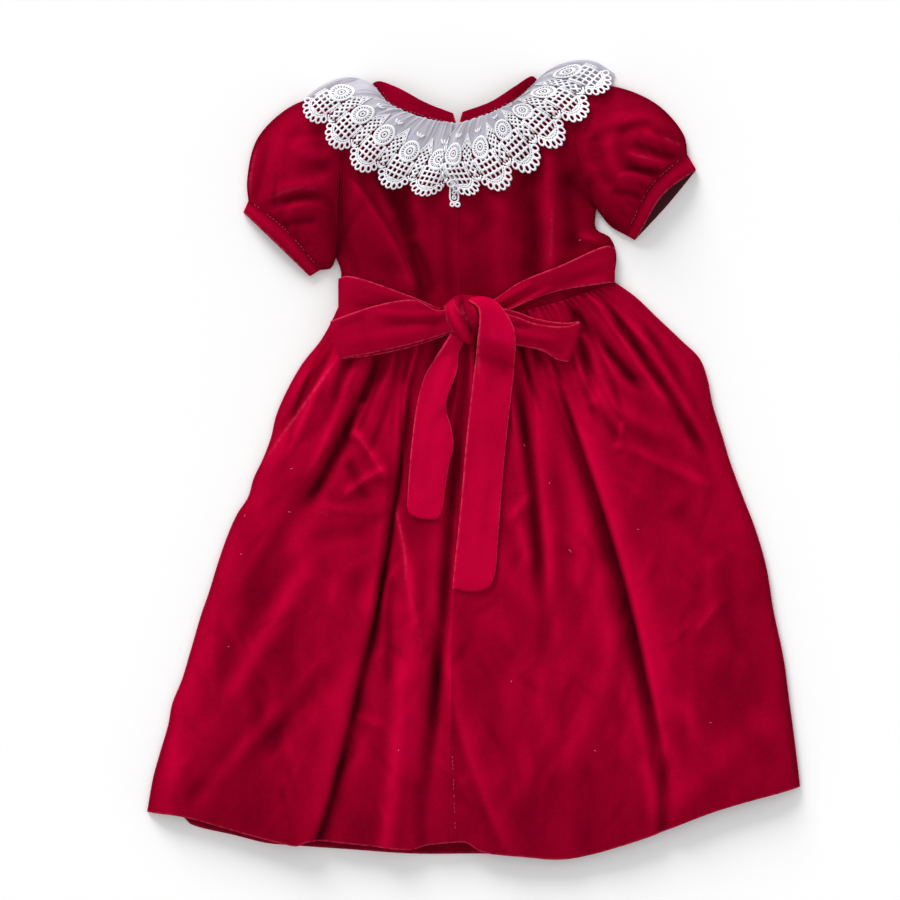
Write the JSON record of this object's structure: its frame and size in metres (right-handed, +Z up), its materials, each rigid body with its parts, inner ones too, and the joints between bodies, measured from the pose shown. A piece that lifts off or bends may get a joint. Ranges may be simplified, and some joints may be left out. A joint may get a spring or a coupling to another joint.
{
  "type": "toddler party dress",
  "caption": "Toddler's red velvet party dress laid flat back side up: puff sleeves, gathered lace-edged collar, sash tied in a bow, full gathered skirt.",
  "frame": {"origin": "bottom centre of the dress's box, on the surface that the dress lies on", "axes": "+Y towards the neck, +X to the right of a person looking down on the dress's back with the neck away from them, +Z up from the surface"},
  "size_m": [0.5212, 0.6386, 0.0317],
  "materials": {
    "velvet": "matte",
    "lace": "matte",
    "organza": "satin",
    "thread": "satin"
  },
  "bodies": {
    "root": {"bodice_front": "velvet", "bodice_back_left": "velvet", "bodice_back_right": "velvet", "sleeve_left": "velvet", "sleeve_right": "velvet", "cuff_left": "velvet", "cuff_right": "velvet", "neckband_front": "velvet", "neckband_back_left": "velvet", "neckband_back_right": "velvet", "skirt_front": "velvet", "skirt_back_left": "velvet", "skirt_back_right": "velvet", "sash_band_left": "velvet", "sash_band_right": "velvet", "bow_loop_left": "velvet", "bow_loop_right": "velvet", "bow_knot": "velvet", "sash_tail_left": "velvet", "sash_tail_right": "velvet", "collar_left": "lace", "collar_right": "lace", "collar_front": "lace"}
  },
  "joints": []
}
